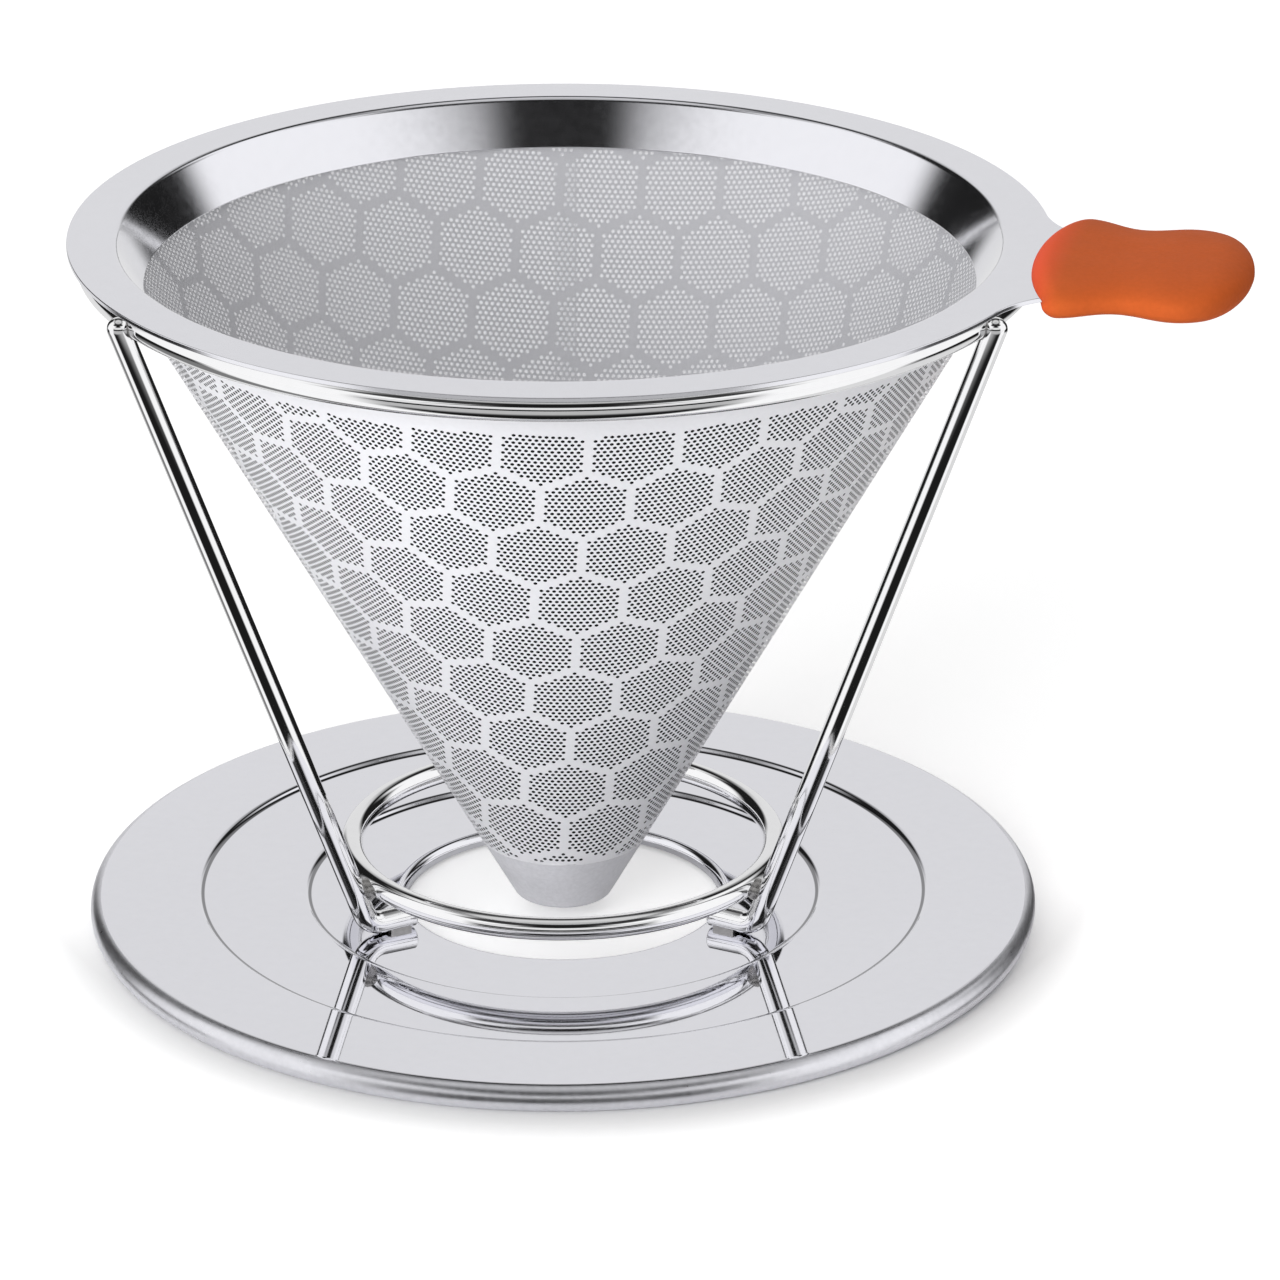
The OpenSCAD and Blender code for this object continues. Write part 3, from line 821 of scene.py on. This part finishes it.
class DRIPPER_OT_lining(bpy.types.Operator):
    """Make the fine mesh lining of the cone"""

    bl_idname = "dripper.lining"
    bl_label = "Mesh lining"

    def execute(self, context):
        s, f = context.scene.dripper_filter, context.scene.dripper_finish
        h = half_angle(s)
        near, far = mm(s.mesh_out), mm(s.mesh_out) + mm(s.mesh_sheet)
        low = mm(s.rim_top) - mm(s.depth) + mm(s.tip_h) + mm(s.mesh_lift)
        high = mm(s.rim_top) - mm(s.rim_sheet) - mm(s.mesh_short)
        z = np.linspace(low, high, 40)
        steps = 240
        outside = np.stack([cone_r(s, z, far), z], 1)
        inside = np.stack([cone_r(s, z, near), z], 1)[::-1]
        outline = np.concatenate([outside, inside])
        grid = revolved(outline, steps)
        rows, cols = steps, len(outline)
        quads = grid_quads(rows, cols, True, True)
        slant = outline[:, 0] / math.sin(h)
        turn = np.arange(steps + 1) * TAU / steps * math.sin(h)
        flat = np.stack([slant * np.cos(turn[:, None]), slant * np.sin(turn[:, None])], -1)
        i = np.repeat(np.arange(rows), cols)
        j = np.tile(np.arange(cols), rows)
        k = (j + 1) % cols
        uv = np.stack([flat[i, j], flat[i + 1, j], flat[i + 1, k], flat[i, k]], 1)
        piece = build("mesh_lining_sheet", grid.reshape(-1, 3), quads, uv=uv)
        side = np.where(j < len(z), 1, 0).astype(np.int32)
        # The lining's back is near black, a painted shade, and glows from inside, a painted light.
        faces = self.weave("mesh_face", f.mesh_face, False), self.weave("mesh_back_painted_shade", f.mesh_back_painted_shade, True)
        place(piece, "filter", "mesh_steel", ["mesh_lining"], *faces)
        piece.data.polygons.foreach_set("material_index", side)
        piece.visible_glossy = False
        return {"FINISHED"}

    def weave(self, name, rgb, one_way, pitch=0.11, wire=0.42):
        """Woven steel on the flat sheet's coordinates in millimetres.

        It is open where both crossing sets of wires leave a gap. One way, it has no gaps: it is close
        from its front, where its near black colour is a painted shade for the gap behind the holes, and
        from its back it is more than half clear and glows, a painted light, so that the cone's
        holes look dark from outside and light from inside.
        """
        material = bpy.data.materials.new(name)
        material.use_nodes = True
        tree = material.node_tree
        shader = tree.nodes["Principled BSDF"]
        flat = add(tree, "ShaderNodeUVMap", uv_map="flat")
        split = add(tree, "ShaderNodeSeparateXYZ")
        tree.links.new(flat.outputs["UV"], split.inputs[0])
        rounds = []
        for socket in split.outputs[:2]:
            wave = maths(tree, "FRACT", maths(tree, "DIVIDE", socket, pitch), 0.0)
            rounds.append(maths(tree, "ABSOLUTE", minus(tree, wave, 0.5), 0.0))
        nearest = most(tree, *rounds)
        solid = maths(tree, "GREATER_THAN", nearest, (1 - wire) / 2)
        # One way, the front's near black colour paints shade and the back's glow is painted light.
        if one_way:
            side = add(tree, "ShaderNodeNewGeometry")
            inner = times(tree, side.outputs["Backfacing"], 0.6)
            solid = minus(tree, 1.0, inner)
            tree.links.new(inner, shader.inputs["Emission Color"])
            shader.inputs["Emission Strength"].default_value = 1.0
        tree.links.new(solid, shader.inputs["Alpha"])
        # The wires' colour is painted lighter along their middles and darker at their edges: painted shading
        # of round wires.
        tone = place_group(tree, tint_group(), Color=(*rgb, 1.0), Dark=0.75, Light=1.1)
        bright = times(tree, nearest, 2.0)
        tree.links.new(bright, tone.inputs["Mask"])
        tree.links.new(tone.outputs["Color"], shader.inputs["Base Color"])
        shader.inputs["Metallic"].default_value = 0.15
        shader.inputs["Roughness"].default_value = 0.6
        shader.inputs["Specular IOR Level"].default_value = 0.15
        return material


class DRIPPER_OT_tip(bpy.types.Operator):
    """Make the tip cap"""

    bl_idname = "dripper.tip"
    bl_label = "Tip cap"

    def execute(self, context):
        s, f = context.scene.dripper_filter, context.scene.dripper_finish
        low = mm(s.rim_top) - mm(s.depth)
        high, out, sheet = low + mm(s.tip_h), mm(s.cone_out), mm(s.tip_sheet)
        floor, small, pole = low + sheet, 0.08, 0.02
        outline = rounded_outline(
            [
                (pole, low, 0.0),
                (cone_r(s, low, out), low, mm(s.tip_round)),
                (cone_r(s, high, out), high, small),
                (cone_r(s, high, out - sheet), high, small),
                (cone_r(s, floor, out - sheet), floor, mm(s.tip_round) - sheet / 2),
                (pole, floor, 0.0),
            ]
        )
        piece = revolved_piece("tip_cap_cup", outline, 160)
        place(piece, "filter", "tip_steel", ["tip_cap"], matt_steel(f))
        piece.visible_glossy = False
        return {"FINISHED"}


class DRIPPER_OT_grip(bpy.types.Operator):
    """Make the soft grip"""

    bl_idname = "dripper.grip"
    bl_label = "Grip sleeve"

    ROOT, WAIST, SWELL = 0.06, 0.42, 0.67  # shares of the length where the outline turns
    OVAL = 2 / 2.7  # power that squares the oval section
    LINE_AT, LINE_SPREAD = 0.6, 0.07  # how far below the middle the parting line lies, and its spread
    ROOT_ROUND, END_ROUND = 2.2, 5.0  # millimetres over which the ends round off
    ROOT_EDGE = 0.2  # share of the thickness that stands at the root
    FLUSH = 0.22  # share of the length that is redder

    def execute(self, context):
        s, f = context.scene.dripper_filter, context.scene.dripper_finish
        rows, sides = 96, 128
        u = (1 - np.cos(np.linspace(0, math.pi, rows + 1)[:-1])) / 2
        v = np.arange(sides) * TAU / sides
        middle = mm(s.rim_top) - mm(s.rim_sheet) / 2
        half, rise = self.half_width(s, u)[:, None], self.half_rise(s, u)[:, None]
        c, d = np.cos(v)[None], np.sin(v)[None]
        line = mm(s.grip_line) * np.exp(-(((d + self.LINE_AT) / self.LINE_SPREAD) ** 2))
        line = line * np.clip(half / mm(s.grip_waist_w) * 4, 0, 1)
        y = (half * np.abs(c) ** self.OVAL + line) * np.sign(c)
        z = rise * np.sign(d) * np.abs(d) ** self.OVAL
        aside, left = 2 * y / mm(s.grip_root_w), 1 - u[:, None]
        bow = mm(s.grip_bow) * left**2 * aside**2
        lap = mm(s.grip_lap) * left**6 * np.maximum(np.clip(d, 0, 1) ** self.OVAL, aside**4)
        x = mm(s.grip_root) + mm(s.grip_len) * u[:, None] + bow - lap
        rings = np.stack([x, y, middle + z], -1)
        ends = np.array([[mm(s.grip_root), 0, middle], [mm(s.grip_root) + mm(s.grip_len), 0, middle]])
        k = np.arange(sides)
        n, end = rows * sides, (rows - 1) * sides
        first = np.stack([np.full(sides, n), (k + 1) % sides, k], 1)
        last = np.stack([np.full(sides, n + 1), end + k, end + (k + 1) % sides], 1)
        points = np.concatenate([rings.reshape(-1, 3), ends])
        quads = grid_quads(rows, sides, False, True)[:, ::-1]
        piece = build("grip_sleeve_body", points, quads, np.concatenate([first, last]))
        place(piece, "filter", "grip_silicone", ["grip_sleeve"], self.silicone(s, f))
        piece.visible_glossy = False
        return {"FINISHED"}

    def half_width(self, s, u):
        """Half the grip's width at share u of its length.

        Root, waist and swelling are joined by half cosines, the root narrows by a square at its
        start, and a quarter of an ellipse closes the end.
        """
        root, waist, end = mm(s.grip_root_w) / 2, mm(s.grip_waist_w) / 2, mm(s.grip_end_w) / 2
        start = root * (1 - 0.035 * np.clip(1 - u / self.ROOT, 0, 1) ** 2)
        inward = self.eased(root, waist, (u - self.ROOT) / (self.WAIST - self.ROOT))
        outward_again = self.eased(waist, end, (u - self.WAIST) / (self.SWELL - self.WAIST))
        body = np.where(u < self.WAIST, inward, outward_again)
        past = np.clip(u - self.SWELL, 0, 1) / (1 - self.SWELL)
        tip = end * np.sqrt(np.clip(1 - past**2, 0, 1))
        return np.where(u < self.ROOT, start, np.where(u < self.SWELL, body, tip))

    def eased(self, a, b, t):
        """From a to b along half a cosine as t runs from 0 to 1."""
        return a + (b - a) * (1 - np.cos(math.pi * np.clip(t, 0, 1))) / 2

    def half_rise(self, s, u):
        """Half the grip's thickness at share u of its length.

        Quarters of ellipses round both ends, and one full cosine up to the swelling is the thumb dip.
        """
        from_root = np.clip(u * mm(s.grip_len) / self.ROOT_ROUND, 0, 1)
        to_end = np.clip((1 - u) * mm(s.grip_len) / self.END_ROUND, 0, 1)
        root = self.ROOT_EDGE + (1 - self.ROOT_EDGE) * np.sqrt(1 - (1 - from_root) ** 2)
        end = np.sqrt(1 - (1 - to_end) ** 2)
        dip = np.where(u < self.SWELL, mm(s.grip_dip) * (1 - np.cos(TAU * u / self.SWELL)) / 2, 0)
        return (mm(s.grip_t) / 2 - dip) * root * end

    def silicone(self, s, f):
        """Matt silicone with a fine moulded grain, redder towards its root."""
        material = finish_material(
            "silicone", f.grip, 0.0, (0.5, 0.64), 2200.0, 180.0, dark=0.88, bump=0.4, bump_mm=0.04, gloss=0.03
        )
        tree = material.node_tree
        shader = tree.nodes["Principled BSDF"]
        where = add(tree, "ShaderNodeTexCoord")
        parts = add(tree, "ShaderNodeSeparateXYZ")
        tree.links.new(where.outputs["Object"], parts.inputs[0])
        flush = add(tree, "ShaderNodeMix", data_type="RGBA")
        share, plain, red, mixed = flush.inputs[0], flush.inputs[6], flush.inputs[7], flush.outputs[2]
        start = s.grip_root - s.grip_lap
        tree.links.new(slope(tree, parts.outputs["X"], start + self.FLUSH * s.grip_len, start), share)
        tree.links.new(shader.inputs["Base Color"].links[0].from_socket, plain)
        red.default_value = (*f.grip_flush, 1.0)
        tree.links.new(mixed, shader.inputs["Base Color"])
        return material


class DRIPPER_OT_stage(bpy.types.Operator):
    """Set the floor, the light and the camera"""

    bl_idname = "dripper.stage"
    bl_label = "Studio"

    # The floor's zones: distances in metres from the axis, or away from the front, from start to end. In a
    # ring round the plate's rim the floor's glow is held back, a painted shadow at the front and sides; it
    # returns over the second zone, and the third keeps it on behind the plate.
    UNDER_PLATE, ROUND_PLATE, BEHIND = (0.06, 0.045), (0.0615, 0.072), (-0.03, 0.01)
    OUT_OF_METAL, BRIGHT_FRONT = (0.0645, 0.067), (-0.13, -0.23)
    FLOOR_GLOW, FRONT_GLOW = 0.39, 0.5

    # The studio's edges in degrees: bearings to either side of straight ahead, and rises. A lean is
    # added on the left and taken off on the right, and a pair runs from start to end of a soft edge.
    UPPER = (-11, -4)  # rise between the lower pattern and the upper one
    BACKDROP, BACKDROP_LOW, BACKDROP_LEAN = 26.0, 34.0, 19.0
    BACKDROP_TOP, BACKDROP_LIGHT = (46, 27), 0.78
    WALL, WALL_LOW = 63.0, 90.0  # where the side walls start
    GAP_TOP, GAP_LEAN, GAP_EDGE = 38.5, 8.5, (-8, 8)  # where the gap beside the backdrop ends
    OVER_GAP = (36, 50)
    LOW_LIGHT, LOW_MORE, LOW_TOP = 0.47, 0.27, (-18, -28)  # light from below, more on the right
    # Half the width of the dark place behind the camera, by rise, and its soft edge.
    BEHIND_EYE = (("From Min", 22), ("From Max", 40), ("To Min", 42), ("To Max", 16))
    EYE_EDGE = (-4, 10)
    WINDOW_FOOT, WINDOW_HEAD, WINDOW_LIGHT = (9, 14), (33, 28), 0.8
    CEILING, CEILING_LIGHT = (48, 66), 0.15
    OVER_EYE_FOOT, OVER_EYE_SIDE, OVER_EYE_DARK = (38, 42), (104, 126), 0.96
    ZENITH, ZENITH_LIGHT, LEAST_LIGHT = (62, 70), 0.5, 0.012

    # The dome over matt surfaces: its light, and the shares that it loses.
    DOME_LIGHT, DOME_TOP, TOP_LOSS = 1.1, (20, 80), 0.2
    RIGHT_LOSS, DOME_SIDE, SIDE_LOSS = 0.4, (0.3, 0.85), 0.85

    def execute(self, context):
        scene = context.scene
        g, f = scene.dripper_stage, scene.dripper_finish
        scene.view_settings.view_transform = "Standard"
        self.floor(f, scene.dripper_stand.stand_turn)
        self.world(scene)
        self.lamp(scene, "front_lamp", g)
        lens = bpy.data.cameras.new("view")
        lens.lens, lens.sensor_width = g.lens, 36.0
        lens.clip_start, lens.clip_end = 0.05, 20.0
        camera = bpy.data.objects.new("view", lens)
        self.point(camera, g.eye, g.aim)
        scene.collection.objects.link(camera)
        scene.camera = camera
        return {"FINISHED"}

    def floor(self, f, turn):
        """A wide plain floor.

        The camera sees it white, with the object's shadow, and darker in a ring round the plate's rim at
        the front and sides, where its glow is held back: a painted shadow. Metal shows it only close to the
        object, and further off the studio's light from below, with a glow in front.
        """
        side, low = 6000.0, -0.02
        points = np.array([[x * side, y * side, low] for x, y in ((-1, -1), (1, -1), (1, 1), (-1, 1))])
        piece = build("floor", points, np.array([[0, 1, 2, 3]]))
        material = bpy.data.materials.new("floor")
        material.use_nodes = True
        tree = material.node_tree
        shader = tree.nodes["Principled BSDF"]
        shader.inputs["Base Color"].default_value = (*f.floor, 1.0)
        shader.inputs["Roughness"].default_value = 0.9
        shader.inputs["Specular IOR Level"].default_value = 0.0
        path = add(tree, "ShaderNodeLightPath")
        shader.inputs["Emission Color"].default_value = (1.0, 1.0, 1.0, 1.0)
        where = add(tree, "ShaderNodeTexCoord")
        reach = add(tree, "ShaderNodeVectorMath", operation="LENGTH")
        tree.links.new(where.outputs["Object"], reach.inputs[0])
        reach = reach.outputs["Value"]
        _, away, _ = self.turned(tree, where.outputs["Object"], turn)
        # Round the plate's rim, except behind, the glow is held back: a painted shadow.
        zones = slope(tree, reach, *self.UNDER_PLATE), slope(tree, reach, *self.ROUND_PLATE)
        outside_painted_shadow = most(tree, most(tree, *zones), slope(tree, away, *self.BEHIND))
        glow = times(tree, path.outputs["Is Camera Ray"], times(tree, outside_painted_shadow, self.FLOOR_GLOW))
        tree.links.new(glow, shader.inputs["Emission Strength"])
        beyond = slope(tree, reach, *self.OUT_OF_METAL)
        ahead = times(tree, slope(tree, away, *self.BRIGHT_FRONT), self.FRONT_GLOW)
        clear = add(tree, "ShaderNodeBsdfTransparent")
        white = add(tree, "ShaderNodeEmission")
        mirrored = add(tree, "ShaderNodeMixShader")
        tree.links.new(ahead, mirrored.inputs["Fac"])
        tree.links.new(clear.outputs[0], mirrored.inputs[1])
        tree.links.new(white.outputs[0], mirrored.inputs[2])
        mix = add(tree, "ShaderNodeMixShader")
        tree.links.new(times(tree, path.outputs["Is Glossy Ray"], beyond), mix.inputs["Fac"])
        tree.links.new(shader.outputs[0], mix.inputs[1])
        tree.links.new(mirrored.outputs[0], mix.inputs[2])
        tree.links.new(mix.outputs[0], tree.nodes["Material Output"].inputs["Surface"])
        piece.data.materials.append(material)

    def turned(self, tree, vector, turn):
        """A direction's parts to the studio's right, away from its front and up."""
        turned = add(tree, "ShaderNodeMapping", vector_type="POINT")
        turned.inputs["Rotation"].default_value[2] = -turn
        tree.links.new(vector, turned.inputs["Vector"])
        parts = add(tree, "ShaderNodeSeparateXYZ")
        tree.links.new(turned.outputs[0], parts.inputs[0])
        return parts.outputs

    def walls(self, tree, bearing, rise):
        """Light from backdrop, side walls and floor at a bearing and a rise in degrees."""
        soft = 6  # half the width of an upright edge
        aside = maths(tree, "ABSOLUTE", bearing, 0.0)
        hand = maths(tree, "SIGN", bearing, 0.0)
        upper = slope(tree, rise, *self.UPPER)
        low_start = minus(tree, self.BACKDROP_LOW, times(tree, hand, self.BACKDROP_LEAN))
        gap_start = self.between(tree, low_start, self.BACKDROP, upper)
        backdrop = slope(tree, minus(tree, aside, gap_start), soft, -soft)
        backdrop = times(tree, backdrop, slope(tree, rise, *self.BACKDROP_TOP))
        backdrop = times(tree, backdrop, self.BACKDROP_LIGHT)
        gap_end = self.between(tree, self.WALL_LOW, self.WALL, upper)
        wall = slope(tree, minus(tree, aside, gap_end), -soft, soft)
        gap_top = minus(tree, self.GAP_TOP, times(tree, hand, self.GAP_LEAN))
        over_gap = slope(tree, minus(tree, rise, gap_top), *self.GAP_EDGE)
        over_gap = times(tree, over_gap, slope(tree, aside, *self.OVER_GAP))
        low = plus(tree, times(tree, hand, self.LOW_MORE), self.LOW_LIGHT)
        low = times(tree, low, slope(tree, rise, *self.LOW_TOP))
        wall = most(tree, wall, most(tree, over_gap, low))
        dark_half = add(tree, "ShaderNodeMapRange")
        tree.links.new(rise, dark_half.inputs["Value"])
        for key, value in self.BEHIND_EYE:
            dark_half.inputs[key].default_value = value
        from_eye = minus(tree, minus(tree, 180.0, aside), dark_half.outputs["Result"])
        window = times(tree, slope(tree, rise, *self.WINDOW_FOOT), slope(tree, rise, *self.WINDOW_HEAD))
        clear = most(tree, slope(tree, from_eye, *self.EYE_EDGE), times(tree, window, self.WINDOW_LIGHT))
        return most(tree, backdrop, times(tree, wall, clear))

    def world(self, scene):
        """The studio round the object, white to the camera.

        Metal sees a pale backdrop, a white wall on each side, a dark gap between each wall and the
        backdrop, a dark place with a window behind the camera, and a dim ceiling with a lighter
        middle. Matt surfaces see a plain dome, dimmer at its top and towards both sides, most so on
        the right.
        """
        world = bpy.data.worlds.new("studio")
        scene.world = world
        world.use_nodes = True
        tree = world.node_tree
        where = add(tree, "ShaderNodeTexCoord")
        x, y, z = self.turned(tree, where.outputs["Generated"], scene.dripper_stand.stand_turn)
        degrees = 180 / math.pi
        bearing = times(tree, maths(tree, "ARCTAN2", x, y), degrees)
        rise = times(tree, maths(tree, "ARCSINE", z, 0.0), degrees)
        light = self.walls(tree, bearing, rise)
        light = self.between(tree, light, self.CEILING_LIGHT, slope(tree, rise, *self.CEILING))
        aside = maths(tree, "ABSOLUTE", bearing, 0.0)
        over_eye = slope(tree, rise, *self.OVER_EYE_FOOT), slope(tree, aside, *self.OVER_EYE_SIDE)
        light = self.less(tree, light, times(tree, *over_eye), self.OVER_EYE_DARK)
        light = plus(tree, light, times(tree, slope(tree, rise, *self.ZENITH), self.ZENITH_LIGHT))
        light = plus(tree, light, self.LEAST_LIGHT)
        path = add(tree, "ShaderNodeLightPath")
        dome = minus(tree, self.DOME_LIGHT, times(tree, slope(tree, rise, *self.DOME_TOP), self.TOP_LOSS))
        dome = self.less(tree, dome, x, self.RIGHT_LOSS)
        side = slope(tree, maths(tree, "ABSOLUTE", x, 0.0), *self.DOME_SIDE)
        dome = self.less(tree, dome, side, self.SIDE_LOSS)
        light = self.between(tree, dome, light, path.outputs["Is Glossy Ray"])
        seen = most(tree, light, path.outputs["Is Camera Ray"])
        back = tree.nodes["Background"]
        tree.links.new(seen, back.inputs["Strength"])
        back.inputs["Color"].default_value = (1.0, 1.0, 1.0, 1.0)

    def between(self, tree, low, high, share):
        """The value at a share of the way from low to high."""
        return plus(tree, low, times(tree, share, minus(tree, high, low)))

    def less(self, tree, value, mask, share):
        """The value less a share of itself, times the mask."""
        return times(tree, value, minus(tree, 1.0, times(tree, mask, share)))

    def lamp(self, scene, name, g):
        """A square soft lamp that metal doesn't show."""
        data = bpy.data.lights.new(name, "AREA")
        data.size, data.energy = g.lamp_size, g.lamp_watts
        lamp = bpy.data.objects.new(name, data)
        lamp.visible_glossy = False
        self.point(lamp, g.lamp_eye, g.lamp_aim)
        scene.collection.objects.link(lamp)

    def point(self, thing, eye, aim):
        """Sets a lamp or camera at eye, looking at aim."""
        thing.location = eye
        thing.rotation_euler = (Vector(aim) - Vector(eye)).to_track_quat("-Z", "Y").to_euler()


STEPS = (
    DRIPPER_OT_base_plate,
    DRIPPER_OT_wire_stand,
    DRIPPER_OT_welds,
    DRIPPER_OT_rim,
    DRIPPER_OT_cone,
    DRIPPER_OT_lining,
    DRIPPER_OT_tip,
    DRIPPER_OT_grip,
    DRIPPER_OT_stage,
)
GROUPS = (
    ("dripper_stand", DripperStand),
    ("dripper_filter", DripperFilter),
    ("dripper_finish", DripperFinish),
    ("dripper_stage", DripperStage),
)


class DRIPPER_PT_sidebar(bpy.types.Panel):
    """Sizes, finishes and steps of the dripper"""

    bl_idname = "DRIPPER_PT_sidebar"
    bl_label = "Dripper"
    bl_space_type = "VIEW_3D"
    bl_region_type = "UI"
    bl_category = "Dripper"

    def draw(self, context):
        for step in STEPS:
            self.layout.operator(step.bl_idname)
        for name, kind in GROUPS:
            box = self.layout.box()
            for key in kind.__annotations__:
                box.prop(getattr(context.scene, name), key)


def register():
    for name, kind in GROUPS:
        bpy.utils.register_class(kind)
        setattr(bpy.types.Scene, name, PointerProperty(type=kind))
    for kind in (*STEPS, DRIPPER_PT_sidebar):
        bpy.utils.register_class(kind)


def unregister():
    for kind in reversed((*STEPS, DRIPPER_PT_sidebar)):
        bpy.utils.unregister_class(kind)
    for name, kind in reversed(GROUPS):
        delattr(bpy.types.Scene, name)
        bpy.utils.unregister_class(kind)


def main():
    register()
    for step in STEPS:
        group, name = step.bl_idname.split(".")
        getattr(getattr(bpy.ops, group), name)()


if __name__ == "__main__":
    main()
